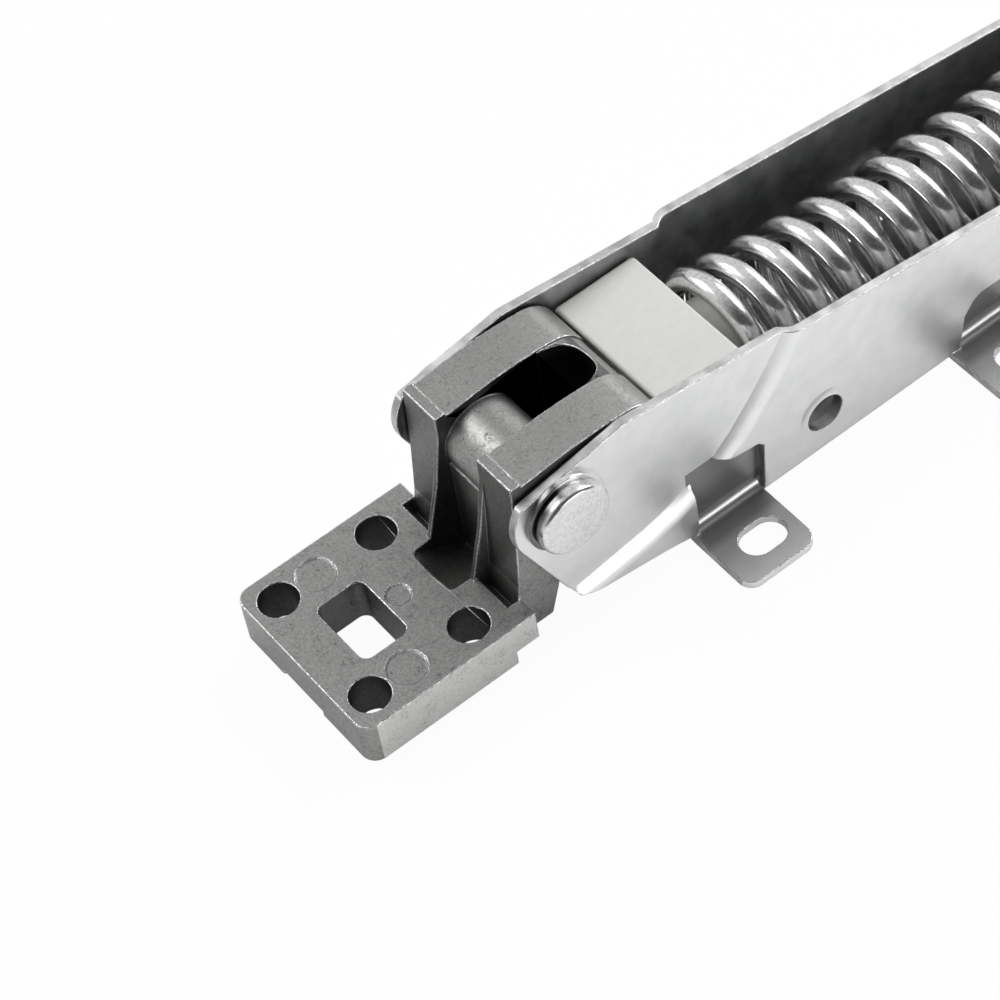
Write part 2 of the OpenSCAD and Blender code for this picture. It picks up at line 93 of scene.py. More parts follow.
def add(
    tree: bpy.types.NodeTree,
    kind: str,
    inputs: Optional[dict[Any, Any]] = None,
    stops: Sequence[tuple[float, Any]] = (),
    **settings: Any,
) -> bpy.types.Node:
    """Add one node with its settings and links.

    Args:
        tree: the node tree that gets the node.
        kind: Blender's name of the node's type.
        inputs: values or output sockets, by the input's name or number.
        stops: pairs of place and linear colour, or of place and grey, where the node has a ramp.
        settings: attributes of the node itself.

    Returns:
        The new node.
    """
    node = tree.nodes.new(kind)
    for name, value in settings.items():
        setattr(node, name, value)
    for name, value in (inputs or {}).items():
        if isinstance(value, bpy.types.NodeSocket):
            tree.links.new(value, node.inputs[name])
        else:
            node.inputs[name].default_value = value
    for number, (place, value) in enumerate(stops):
        elements = node.color_ramp.elements
        element = elements[number] if number < len(elements) else elements.new(place)
        element.position = place
        element.color = value if isinstance(value, tuple) else (value, value, value, 1.0)
    return node


def fresh_material(name: str) -> tuple[bpy.types.Material, bpy.types.NodeTree]:
    """Make an empty node material.

    Args:
        name: the material's name.

    Returns:
        The material and its node tree.
    """
    material = bpy.data.materials.new(name)
    material.use_nodes = True
    tree = material.node_tree
    tree.nodes.clear()
    return material, tree


def object_space(tree: bpy.types.NodeTree, scale_mm: Sequence[float]) -> bpy.types.NodeSocket:
    """Object coordinates divided by a real size, so that one pattern unit is that size.

    Args:
        tree: the node tree.
        scale_mm: the pattern's size along each axis, in millimetres.

    Returns:
        The scaled vector socket.
    """
    coord = add(tree, "ShaderNodeTexCoord")
    scale = [1.0 / (s * MM) for s in scale_mm]
    return add(
        tree, "ShaderNodeMapping", {"Vector": coord.outputs["Object"], "Scale": scale}
    ).outputs[0]


@dataclass(frozen=True)
class PaintedShade:
    """Box of painted shade in a finish: a darker tone inside it, its corners, share and soft
    border.
    """

    low: tuple[float, float, float]
    high: tuple[float, float, float]
    share: float
    border_mm: float

    def over(self, tree: bpy.types.NodeTree, tone: bpy.types.NodeSocket) -> bpy.types.NodeSocket:
        """Multiply a colour by the painted shade's share inside its box of Object coordinates.

        The depth below the nearest side of the box, over the border's width, fades it in.

        Args:
            tree: the node tree.
            tone: the colour outside the box.

        Returns:
            The colour socket.
        """
        coord = add(tree, "ShaderNodeTexCoord").outputs["Object"]
        near = add(
            tree,
            "ShaderNodeVectorMath",
            {0: coord, 1: [v * MM for v in self.low]},
            operation="SUBTRACT",
        )
        far = add(
            tree,
            "ShaderNodeVectorMath",
            {0: [v * MM for v in self.high], 1: coord},
            operation="SUBTRACT",
        )
        least = add(
            tree,
            "ShaderNodeVectorMath",
            {0: near.outputs[0], 1: far.outputs[0]},
            operation="MINIMUM",
        )
        axes = add(tree, "ShaderNodeSeparateXYZ", {0: least.outputs[0]})
        depth = axes.outputs[0]
        for other in axes.outputs[1:]:
            depth = add(
                tree, "ShaderNodeMath", {0: depth, 1: other}, operation="MINIMUM"
            ).outputs[0]
        factor = add(
            tree,
            "ShaderNodeMapRange",
            {
                "Value": depth,
                "From Max": self.border_mm * MM,
                "To Min": 1.0,
                "To Max": self.share,
            },
        )
        return add(
            tree,
            "ShaderNodeMix",
            {0: 1.0, 6: tone, 7: factor.outputs[0]},
            data_type="RGBA",
            blend_type="MULTIPLY",
        ).outputs[2]


# ---------------------------------------------------------------- finishes


@dataclass(frozen=True)
class ZincPlatedSheet:
    """Cold rolled steel with bright zinc: a pale satin metal, even and clean, finely rolled."""

    name: str = "zinc_plated_sheet"
    light: str = "F2F2F2"
    dark: str = "EAEBEB"
    roughness: float = 0.34
    cloud_mm: float = 16.0
    rolling_mm: float = 0.4
    rolling_stretch: float = 20.0
    rolling_depth_mm: float = 0.02
    speckle_mm: float = 0.4
    speckle_depth_mm: float = 0.06
    speckle: float = 0.012
    # boxes of painted shade, darkened inside
    painted_shades: tuple[PaintedShade, ...] = ()

    def build(self) -> bpy.types.Material:
        """Make the node material.

        Returns:
            The finished material.
        """
        material, tree = fresh_material(self.name)
        clouds = add(
            tree,
            "ShaderNodeTexNoise",
            {"Vector": object_space(tree, (self.cloud_mm,) * 3), "Detail": 4.0, "Roughness": 0.5},
        )
        lines = add(
            tree,
            "ShaderNodeTexNoise",
            {
                "Vector": object_space(
                    tree,
                    (self.rolling_mm * self.rolling_stretch, self.rolling_mm, self.rolling_mm),
                ),
                "Detail": 3.0,
                "Roughness": 0.6,
            },
        )
        speckle = add(
            tree,
            "ShaderNodeTexNoise",
            {"Vector": object_space(tree, (self.speckle_mm,) * 3), "Detail": 4.0, "Roughness": 0.7},
        )
        tone = add(
            tree,
            "ShaderNodeValToRGB",
            {0: clouds.outputs[0]},
            stops=[(0.35, srgb(self.dark)), (0.65, srgb(self.light))],
        ).outputs[0]
        # darken the boxes of painted shade
        for shade_box in self.painted_shades:
            tone = shade_box.over(tree, tone)
        rough = add(
            tree,
            "ShaderNodeMapRange",
            {
                "Value": speckle.outputs[0],
                "From Min": 0.3,
                "From Max": 0.7,
                "To Min": self.roughness - 0.02,
                "To Max": self.roughness + 0.03,
            },
        )
        relief = add(
            tree,
            "ShaderNodeBump",
            {
                "Height": lines.outputs[0],
                "Strength": self.speckle,
                "Distance": self.rolling_depth_mm * MM,
            },
        )
        relief = add(
            tree,
            "ShaderNodeBump",
            {
                "Height": speckle.outputs[0],
                "Strength": self.speckle,
                "Distance": self.speckle_depth_mm * MM,
                "Normal": relief.outputs[0],
            },
        )
        shader = add(
            tree,
            "ShaderNodeBsdfPrincipled",
            {
                "Base Color": tone,
                "Metallic": 1.0,
                "Roughness": rough.outputs[0],
                "Normal": relief.outputs[0],
            },
        )
        add(tree, "ShaderNodeOutputMaterial", {"Surface": shader.outputs[0]})
        return material


@dataclass(frozen=True)
class SparklingEdge:
    """Sheared or rubbed metal edge: bright crystal faces among dull ones, a glittering line."""

    name: str = "rubbed_edge"
    light: str = "F2F2F2"
    dark: str = "6F6F6E"
    crystal_mm: float = 0.5
    roughness: float = 0.22
    relief: float = 0.6
    relief_mm: float = 0.1

    def build(self) -> bpy.types.Material:
        """Make the node material.

        Returns:
            The finished material.
        """
        material, tree = fresh_material(self.name)
        crystal = add(
            tree,
            "ShaderNodeTexVoronoi",
            {"Vector": object_space(tree, (self.crystal_mm,) * 3), "Randomness": 1.0},
        )
        grain = add(
            tree,
            "ShaderNodeTexNoise",
            {"Vector": object_space(tree, (self.crystal_mm * 1.5,) * 3), "Detail": 3.0},
        )
        grey = add(tree, "ShaderNodeSeparateColor", {0: crystal.outputs["Color"]})
        tone = add(
            tree,
            "ShaderNodeValToRGB",
            {0: grey.outputs[0]},
            stops=[(0.25, srgb(self.dark)), (0.6, srgb(self.light))],
        ).outputs[0]
        both = add(
            tree,
            "ShaderNodeMath",
            {0: grey.outputs[1], 1: grain.outputs[0]},
            operation="ADD",
        )
        relief = add(
            tree,
            "ShaderNodeBump",
            {
                "Height": both.outputs[0],
                "Strength": self.relief,
                "Distance": self.relief_mm * MM,
            },
        )
        shader = add(
            tree,
            "ShaderNodeBsdfPrincipled",
            {
                "Base Color": tone,
                "Metallic": 1.0,
                "Roughness": self.roughness,
                "Normal": relief.outputs[0],
            },
        )
        add(tree, "ShaderNodeOutputMaterial", {"Surface": shader.outputs[0]})
        return material


@dataclass(frozen=True)
class DieCastZinc:
    """Zinc alloy as cast and tumbled: mid-grey, finely pitted, wrinkled where the flow met."""

    name: str = "die_cast_zinc"
    light: str = "AEAEAC"
    dark: str = "808080"
    pore: str = "3A3A39"
    roughness: float = 0.38
    mottle_mm: float = 1.8
    mottle_share: float = 0.45
    grain_mm: float = 0.3
    grain_share: float = 0.55
    grain_depth_mm: float = 0.08
    pore_mm: float = 0.9
    pore_depth_mm: float = 0.05
    wrinkle_mm: float = 5.0
    patch_mm: float = 10.8

    def build(self) -> bpy.types.Material:
        """Make the node material.

        Returns:
            The finished material.
        """
        material, tree = fresh_material(self.name)
        mottle = add(
            tree,
            "ShaderNodeTexNoise",
            {"Vector": object_space(tree, (self.mottle_mm,) * 3), "Detail": 5.0, "Roughness": 0.6},
        )
        grain = add(
            tree,
            "ShaderNodeTexNoise",
            {"Vector": object_space(tree, (self.grain_mm,) * 3), "Detail": 2.0, "Roughness": 0.7},
        )
        broad = add(
            tree,
            "ShaderNodeTexNoise",
            {"Vector": object_space(tree, (self.patch_mm,) * 3), "Detail": 3.0},
        )
        fold = add(
            tree,
            "ShaderNodeTexNoise",
            {
                "Vector": object_space(tree, (self.wrinkle_mm,) * 3),
                "Detail": 5.0,
                "Roughness": 0.6,
                "Distortion": 0.6,
            },
        )
        # light and dark grains over soft clouds
        mixed = add(
            tree,
            "ShaderNodeMath",
            {0: mottle.outputs[0], 1: self.mottle_share},
            operation="MULTIPLY",
        )
        mixed = add(
            tree,
            "ShaderNodeMath",
            {0: grain.outputs[0], 1: self.grain_share, 2: mixed.outputs[0]},
            operation="MULTIPLY_ADD",
        )
        tone = add(
            tree,
            "ShaderNodeValToRGB",
            {0: mixed.outputs[0]},
            stops=[(0.36, srgb(self.dark)), (0.62, srgb(self.light))],
        )
        # a wrinkle runs where the fold noise passes its middle value, inside the broad patches
        crease = add(
            tree,
            "ShaderNodeValToRGB",
            {0: fold.outputs[0]},
            stops=[(0.485, 1.0), (0.497, 0.0), (0.503, 0.0), (0.515, 1.0)],
        )
        patch = add(
            tree,
            "ShaderNodeValToRGB",
            {0: broad.outputs[0]},
            stops=[(0.52, 1.0), (0.6, 0.0)],
        )
        smooth = add(
            tree,
            "ShaderNodeMath",
            {0: crease.outputs[0], 1: patch.outputs[0]},
            operation="MAXIMUM",
        )
        # pores are the middles of a few cells
        cells = add(
            tree,
            "ShaderNodeTexVoronoi",
            {"Vector": object_space(tree, (self.pore_mm,) * 3), "Randomness": 1.0},
        )
        pores = add(
            tree,
            "ShaderNodeValToRGB",
            {0: cells.outputs["Distance"]},
            stops=[(0.1, 0.0), (0.22, 1.0)],
        )
        sound = add(
            tree,
            "ShaderNodeMath",
            {0: pores.outputs[0], 1: smooth.outputs[0]},
            operation="MULTIPLY",
        )
        colour = add(
            tree,
            "ShaderNodeMix",
            {0: sound.outputs[0], 6: srgb(self.pore), 7: tone.outputs[0]},
            data_type="RGBA",
        )
        rough = add(
            tree,
            "ShaderNodeMapRange",
            {
                "Value": mixed.outputs[0],
                "From Min": 0.35,
                "From Max": 0.65,
                "To Min": self.roughness + 0.08,
                "To Max": self.roughness - 0.06,
            },
        )
        relief = add(
            tree,
            "ShaderNodeBump",
            {
                "Height": sound.outputs[0],
                "Strength": 0.3,
                "Distance": self.pore_depth_mm * MM,
            },
        )
        relief = add(
            tree,
            "ShaderNodeBump",
            {
                "Height": mixed.outputs[0],
                "Strength": 0.35,
                "Distance": self.grain_depth_mm * MM,
                "Normal": relief.outputs[0],
            },
        )
        shader = add(
            tree,
            "ShaderNodeBsdfPrincipled",
            {
                "Base Color": colour.outputs[2],
                "Metallic": 1.0,
                "Roughness": rough.outputs[0],
                "Normal": relief.outputs[0],
            },
        )
        add(tree, "ShaderNodeOutputMaterial", {"Surface": shader.outputs[0]})
        return material


@dataclass(frozen=True)
class BrightSteel:
    """Polished or plated round steel: a near mirror with faint drawn lines and dull touches."""

    name: str = "bright_steel"
    light: str = "EBEBEB"
    dark: str = "D2D2D2"
    roughness: float = 0.12
    dull_mm: float = 2.5
    scratch_mm: float = 0.3
    scratch_depth_mm: float = 0.01
    # boxes of painted shade, darkened inside
    painted_shades: tuple[PaintedShade, ...] = ()

    def build(self) -> bpy.types.Material:
        """Make the node material.

        Returns:
            The finished material.
        """
        material, tree = fresh_material(self.name)
        dull = add(
            tree,
            "ShaderNodeTexNoise",
            {"Vector": object_space(tree, (self.dull_mm,) * 3), "Detail": 5.0, "Roughness": 0.6},
        )
        fine = add(
            tree,
            "ShaderNodeTexNoise",
            {"Vector": object_space(tree, (self.scratch_mm,) * 3), "Detail": 4.0},
        )
        tone = add(
            tree,
            "ShaderNodeValToRGB",
            {0: dull.outputs[0]},
            stops=[(0.3, srgb(self.dark)), (0.6, srgb(self.light))],
        ).outputs[0]
        rough = add(
            tree,
            "ShaderNodeMapRange",
            {
                "Value": dull.outputs[0],
                "From Min": 0.35,
                "From Max": 0.7,
                "To Min": self.roughness,
                "To Max": self.roughness + 0.08,
            },
        )
        relief = add(
            tree,
            "ShaderNodeBump",
            {
                "Height": fine.outputs[0],
                "Strength": 0.02,
                "Distance": self.scratch_depth_mm * MM,
            },
        )
        # darken the boxes of painted shade
        for shade_box in self.painted_shades:
            tone = shade_box.over(tree, tone)
        shader = add(
            tree,
            "ShaderNodeBsdfPrincipled",
            {
                "Base Color": tone,
                "Metallic": 1.0,
                "Roughness": rough.outputs[0],
                "Normal": relief.outputs[0],
            },
        )
        add(tree, "ShaderNodeOutputMaterial", {"Surface": shader.outputs[0]})
        return material


@dataclass(frozen=True)
class MouldedAcetal:
    """White acetal, injection moulded: a faintly warm satin plastic with a fine die texture."""

    name: str = "moulded_acetal"
    light: str = "DBDBD7"
    dark: str = "D7D7D3"
    roughness: float = 0.42
    texture_mm: float = 0.25
    texture_depth_mm: float = 0.02
    cloud_mm: float = 7.0

    def build(self) -> bpy.types.Material:
        """Make the node material.

        Returns:
            The finished material.
        """
        material, tree = fresh_material(self.name)
        clouds = add(
            tree,
            "ShaderNodeTexNoise",
            {"Vector": object_space(tree, (self.cloud_mm,) * 3), "Detail": 3.0},
        )
        fine = add(
            tree,
            "ShaderNodeTexNoise",
            {"Vector": object_space(tree, (self.texture_mm,) * 3), "Detail": 3.0},
        )
        tone = add(
            tree,
            "ShaderNodeValToRGB",
            {0: clouds.outputs[0]},
            stops=[(0.35, srgb(self.dark)), (0.65, srgb(self.light))],
        ).outputs[0]
        relief = add(
            tree,
            "ShaderNodeBump",
            {
                "Height": fine.outputs[0],
                "Strength": 0.05,
                "Distance": self.texture_depth_mm * MM,
            },
        )
        shader = add(
            tree,
            "ShaderNodeBsdfPrincipled",
            {
                "Base Color": tone,
                "Roughness": self.roughness,
                "IOR": 1.48,
                "Subsurface Weight": 0.1,
                "Subsurface Scale": 1.0 * MM,
                "Normal": relief.outputs[0],
            },
        )
        add(tree, "ShaderNodeOutputMaterial", {"Surface": shader.outputs[0]})
        return material


@dataclass(frozen=True)
class PaleFloor:
    """Seamless white paper that the hinge lies on: it shows as white and keeps a faint shadow.

    In reflections it glows brighter in front of the hinge than under and behind it, where the
    weaker glow is painted shade.
    """

    name: str = "pale_floor"
    colour: str = "F4F4F4"
    lift: float = 0.96
    mirrored_front: float = 0.55
    mirrored_back: float = 0.08
    front_mm: float = -40.0
    back_mm: float = -8.0

    def build(self) -> bpy.types.Material:
        """Make the node material, lifted to white for rays of the camera and of reflections.

        Returns:
            The finished material.
        """
        material, tree = fresh_material(self.name)
        path = add(tree, "ShaderNodeLightPath")
        mirrored = add(
            tree,
            "ShaderNodeMath",
            {0: path.outputs["Is Glossy Ray"], 1: path.outputs["Is Transmission Ray"]},
            operation="MAXIMUM",
        )
        place = add(
            tree,
            "ShaderNodeSeparateXYZ",
            {0: add(tree, "ShaderNodeTexCoord").outputs["Object"]},
        )
        # painted shade: the glow seen in reflections fades from in front of the hinge to under and
        # behind it
        grade = add(
            tree,
            "ShaderNodeMapRange",
            {
                "Value": place.outputs[1],
                "From Min": self.front_mm * MM,
                "From Max": self.back_mm * MM,
                "To Min": self.mirrored_front,
                "To Max": self.mirrored_back,
            },
        )
        mirrored = add(
            tree,
            "ShaderNodeMath",
            {0: mirrored.outputs[0], 1: grade.outputs[0]},
            operation="MULTIPLY",
        )
        share = add(
            tree,
            "ShaderNodeMath",
            {0: path.outputs["Is Camera Ray"], 1: self.lift, 2: mirrored.outputs[0]},
            operation="MULTIPLY_ADD",
            use_clamp=True,
        )
        paper = add(tree, "ShaderNodeBsdfDiffuse", {"Color": srgb(self.colour)})
        glow = add(tree, "ShaderNodeEmission", {"Color": srgb("FFFFFF"), "Strength": 1.0})
        both = add(
            tree,
            "ShaderNodeMixShader",
            {0: share.outputs[0], 1: paper.outputs[0], 2: glow.outputs[0]},
        )
        add(tree, "ShaderNodeOutputMaterial", {"Surface": both.outputs[0]})
        return material


# ---------------------------------------------------------------- mesh tools


def grid_faces(rows: int, cols: int, close_rows: bool, close_cols: bool) -> np.ndarray:
    """Quads of a grid whose point (i, j) has number i*cols + j.

    Args:
        rows: number of points along the first parameter.
        cols: number of points along the second parameter.
        close_rows: joins the last row to the first.
        close_cols: joins the last column to the first.

    Returns:
        An array of four point numbers for each face.
    """
    i = np.arange(rows if close_rows else rows - 1)
    j = np.arange(cols if close_cols else cols - 1)
    a, b = np.meshgrid(i, j, indexing="ij")
    a1, b1 = (a + 1) % rows, (b + 1) % cols
    quads = np.stack([a * cols + b, a1 * cols + b, a1 * cols + b1, a * cols + b1], axis=-1)
    return quads.reshape(-1, 4)


def surface_object(
    name: str, points: np.ndarray, faces: Sequence[Sequence[int]]
) -> bpy.types.Object:
    """Make a smooth mesh object from points and faces, in the hinge's own frame.

    Args:
        name: the object's name.
        points: an array of points in metres.
        faces: lists of point numbers.

    Returns:
        The linked object, with outward normals.
    """
    mesh = bpy.data.meshes.new(name)
    mesh.from_pydata(points.reshape(-1, 3).tolist(), [], [list(map(int, f)) for f in faces])
    work = bmesh.new()
    work.from_mesh(mesh)
    bmesh.ops.remove_doubles(work, verts=work.verts, dist=WELD)
    bmesh.ops.recalc_face_normals(work, faces=work.faces)
    work.to_mesh(mesh)
    work.free()
    mesh.polygons.foreach_set("use_smooth", np.ones(len(mesh.polygons), bool))
    obj = bpy.data.objects.new(name, mesh)
    bpy.context.scene.collection.objects.link(obj)
    return obj


def revolved(
    name: str, profile: np.ndarray, centre: Sequence[float], sides: int = 96
) -> bpy.types.Object:
    """Turn a profile about an axis that runs along Y.

    Each point is centre + (r cos a, y, r sin a), for r and y along the profile and a round the
    circle. The profile starts and ends on the axis.

    Args:
        name: the object's name.
        profile: an array of r and y in metres.
        centre: the point that the axis passes through.
        sides: number of steps round the axis.

    Returns:
        The closed turned piece.
    """
    a = np.linspace(0, 2 * math.pi, sides, endpoint=False)
    r, y = profile[:, 0:1], profile[:, 1:2]
    points = np.stack(
        [r * np.cos(a) + centre[0], y + 0 * a + centre[1], r * np.sin(a) + centre[2]], axis=-1
    )
    return surface_object(name, points, grid_faces(len(profile), sides, False, True))


def rounded_profile(corners: Sequence[tuple[float, float, float]], steps: int = 5) -> np.ndarray:
    """Round the corners of a polyline.

    Each corner of radius f is cut back by f along both its edges and bridged by the quadratic
    curve (1-s)^2 p + 2 s (1-s) c + s^2 q, with s from 0 to 1.

    Args:
        corners: first value, second value and radius of each corner.
        steps: number of steps in each rounding.

    Returns:
        The array of rounded points.
    """
    pts = [np.array(c[:2], float) for c in corners]
    out = [pts[0]]
    s = np.linspace(0, 1, steps)[:, None]
    for k in range(1, len(pts) - 1):
        p, c, q, f = pts[k - 1], pts[k], pts[k + 1], corners[k][2]
        if f <= 0:
            out.append(c)
            continue
        a = c + (p - c) / np.linalg.norm(p - c) * min(f, np.linalg.norm(p - c) * 0.49)
        b = c + (q - c) / np.linalg.norm(q - c) * min(f, np.linalg.norm(q - c) * 0.49)
        out.extend((1 - s) ** 2 * a + 2 * s * (1 - s) * c + s * s * b)
    out.append(pts[-1])
    return np.array(out)


def merged_copy(
    node: str, name: str, flat_deg: float = 0.6, weld_mm: float = 0.002
) -> bpy.types.Object:
    """Copy a solid's mesh, join its loose triangles and give flat faces back their outlines.

    Args:
        node: the name of the solid.
        name: the copy's name.
        flat_deg: faces that meet at less than this angle become one.
        weld_mm: points closer than this become one.

    Returns:
        The new object at the origin.
    """
    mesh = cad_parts[node].data.copy()
    mesh.materials.clear()
    work = bmesh.new()
    work.from_mesh(mesh)
    bmesh.ops.remove_doubles(work, verts=work.verts, dist=weld_mm * MM)
    bmesh.ops.dissolve_degenerate(work, edges=work.edges, dist=weld_mm * MM)
    bmesh.ops.dissolve_limit(
        work, angle_limit=math.radians(flat_deg), verts=work.verts, edges=work.edges
    )
    work.to_mesh(mesh)
    work.free()
    obj = bpy.data.objects.new(name, mesh)
    bpy.context.scene.collection.objects.link(obj)
    return obj


def restore_hollows(mesh: bpy.types.Mesh, finish: int) -> None:
    """Give the roundings of inward edges the finish of the faces beside them.

    A rounding lies on an inward edge where the angles to its neighbours, taken positive for
    outward edges, have a sum below zero.

    Args:
        mesh: the rounded mesh.
        finish: number of the roundings' own material.
    """
    work = bmesh.new()
    work.from_mesh(mesh)
    work.normal_update()
    hollow = [
        face
        for face in work.faces
        if face.material_index == finish
        and sum(e.calc_face_angle_signed(0.0) * e.calc_length() for e in face.edges) < 0
    ]
    for face in hollow:
        beside = [
            other.material_index
            for edge in face.edges
            for other in edge.link_faces
            if other.material_index != finish
        ]
        face.material_index = max(beside, default=0)
    work.to_mesh(mesh)
    work.free()


def keep_in_box(mesh: bpy.types.Mesh, source: bpy.types.Mesh) -> None:
    """Draw the points of a rounded mesh back into the box of the mesh that it comes from.

    Args:
        mesh: the rounded mesh, in which a mitre may run past its corner.
        source: the mesh before its edges were rounded.
    """
    box = np.empty(len(source.vertices) * 3)
    source.vertices.foreach_get("co", box)
    box = box.reshape(-1, 3)
    points = np.empty(len(mesh.vertices) * 3)
    mesh.vertices.foreach_get("co", points)
    points = np.clip(points.reshape(-1, 3), box.min(axis=0), box.max(axis=0))
    mesh.vertices.foreach_set("co", points.ravel())
    mesh.update()


def soften(
    obj: bpy.types.Object, width_mm: float, steps: int, angle_deg: float = 28.0, finish: int = -1
) -> None:
    """Round the sharp edges of a piece and shade it smooth between them.

    Where the roundings have their own material, they are made at once, so that only the outward
    ones keep it.

    Args:
        obj: the piece.
        width_mm: width of the rounding in millimetres.
        steps: number of faces across a rounding.
        angle_deg: edges sharper than this are rounded.
        finish: number of the outward roundings' own material, or -1 for that of their neighbours.
    """
    obj.data.polygons.foreach_set("use_smooth", np.ones(len(obj.data.polygons), bool))
    bevel = obj.modifiers.new("edge_rounding", "BEVEL")
    bevel.width = width_mm * MM
    bevel.segments = steps
    bevel.limit_method = "ANGLE"
    bevel.angle_limit = math.radians(angle_deg)
    bevel.use_clamp_overlap = False
    bevel.miter_outer = "MITER_SHARP"
    bevel.material = finish
    if finish >= 0:
        graph = bpy.context.evaluated_depsgraph_get()
        rounded = bpy.data.meshes.new_from_object(obj.evaluated_get(graph))
        obj.modifiers.remove(bevel)
        keep_in_box(rounded, obj.data)
        obj.data = rounded
        restore_hollows(rounded, finish)
    flat = obj.modifiers.new("flat_faces", "WEIGHTED_NORMAL")
    flat.mode = "FACE_AREA"
    flat.weight = 90
    flat.keep_sharp = True


def dress(
    obj: bpy.types.Object, body: Body, slot: Slot, finish: bpy.types.Material, *nodes: str
) -> bpy.types.Object:
    """Give a piece its finish, its body and the solids that it stands for.

    Args:
        obj: the piece.
        body: the rigid body that it rides on.
        slot: the record's material slot; not used.
        finish: the material, used where the piece has none yet.
        nodes: names of the solids that it replaces.

    Returns:
        The same piece.
    """
    if not obj.data.materials:
        obj.data.materials.append(finish)
    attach(obj, body.value)
    if nodes:
        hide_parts(*nodes)
    LOG.info("%s: %d faces", obj.name, len(obj.data.polygons))
    return obj


# ---------------------------------------------------------------- sub-assemblies


@dataclass
class ChannelHousing:
    """Folded sheet channel with inclined rims, joggled front and slotted tabs."""

    sheet: float = 1.5
    narrow_y: float = 14.5
    base_z: float = -25.6
    base_bend: float = 1.5
    base_half: float = 14.6
    edge_round: float = 0.16
    round_from_deg: float = 50.0
    weld_mm: float = 0.03
    outer: ZincPlatedSheet = field(
        default_factory=lambda: ZincPlatedSheet(
            painted_shades=(
                # painted shade on the two pressed-in panels
                PaintedShade((20.8, -14.75, -25.2), (36.5, 14.75, -11.2), 0.2, 0.3),
                PaintedShade((71.3, -14.75, -25.2), (87.0, 14.75, -14.6), 0.3, 0.3),
                # painted shade on their bends into the tabs
                PaintedShade((19.5, -20.0, -25.7), (34.9, 20.0, -20.5), 0.55, 2.0),
                PaintedShade((70.0, -20.0, -25.7), (85.4, 20.0, -20.5), 0.55, 2.0),
            )
        )
    )
    # painted shade: the inner faces get a darker copy of the sheet finish
    inner: ZincPlatedSheet = field(
        default_factory=lambda: ZincPlatedSheet(
            name="zinc_sheet_inside_painted_shade",
            light="B4B5B6",
            dark="9A9B9C",
            roughness=0.34,
            speckle=0.08,
        )
    )
    cut: ZincPlatedSheet = field(
        default_factory=lambda: ZincPlatedSheet(
            name="zinc_sheared_edge", light="D0D0D0", dark="A4A4A4", roughness=0.4, speckle=0.3
        )
    )
    rubbed: SparklingEdge = field(
        default_factory=lambda: SparklingEdge(name="rubbed_sheet_edge", dark="9C9C9C")
    )

    def keep_fold(self, mesh: bpy.types.Mesh) -> None:
        """Keep the joggle's fold crisp where its ramp leaves the narrow wall.

        An edge lies on the fold where it is in the narrow wall's outer plane and one of its two
        faces slopes out of that plane.

        Args:
            mesh: the channel's mesh, in metres.
        """
        work = bmesh.new()
        work.from_mesh(mesh)
        work.normal_update()
        for edge in work.edges:
            if len(edge.link_faces) != 2:
                continue
            slope, flat = sorted(abs(face.normal.y) for face in edge.link_faces)
            off = abs(abs(edge.verts[0].co.y) - self.narrow_y * MM)
            if flat > 0.9995 and 0.6 < slope < 0.998 and off < 0.08 * MM:
                edge.smooth = False
        work.to_mesh(mesh)
        work.free()

    def paint(self, mesh: bpy.types.Mesh) -> None:
        """Sort the faces into outer skin, inside with painted shade and sheared edges.

        A face is an edge where its normal lies in the side plane away from the base, and it is
        inside where its normal points to the middle plane or up from the base.

        Args:
            mesh: the channel's mesh, in metres.
        """
        n = len(mesh.polygons)
        normal, centre = np.empty(n * 3), np.empty(n * 3)
        mesh.polygons.foreach_get("normal", normal)
        mesh.polygons.foreach_get("center", centre)
        normal, centre = normal.reshape(-1, 3), centre.reshape(-1, 3) / MM
        index = np.zeros(n, np.int32)
        low = centre[:, 2] < self.base_z + self.sheet + self.base_bend
        inward = -np.sign(centre[:, 1]) * normal[:, 1]
        upward = (normal[:, 2] > 0.5) & low & (np.abs(centre[:, 1]) < self.base_half)
        index[(inward > 0.35) | upward] = 1
        edge = (np.abs(normal[:, 1]) < 0.3) & ~(low & (np.abs(normal[:, 2]) > 0.5))
        index[edge] = 2
        mesh.polygons.foreach_set("material_index", index)

    def build(self) -> bpy.types.Object:
        """Make the dressed channel.

        Returns:
            The channel.
        """
        obj = merged_copy("housing", "channel_sheet", weld_mm=self.weld_mm)
        for finish in (self.outer, self.inner, self.cut, self.rubbed):
            obj.data.materials.append(finish.build())
        self.paint(obj.data)
        soften(obj, self.edge_round, 2, self.round_from_deg, finish=3)
        self.keep_fold(obj.data)
        return dress(obj, Body.CHANNEL, Slot.SHEET, obj.data.materials[0], "housing")


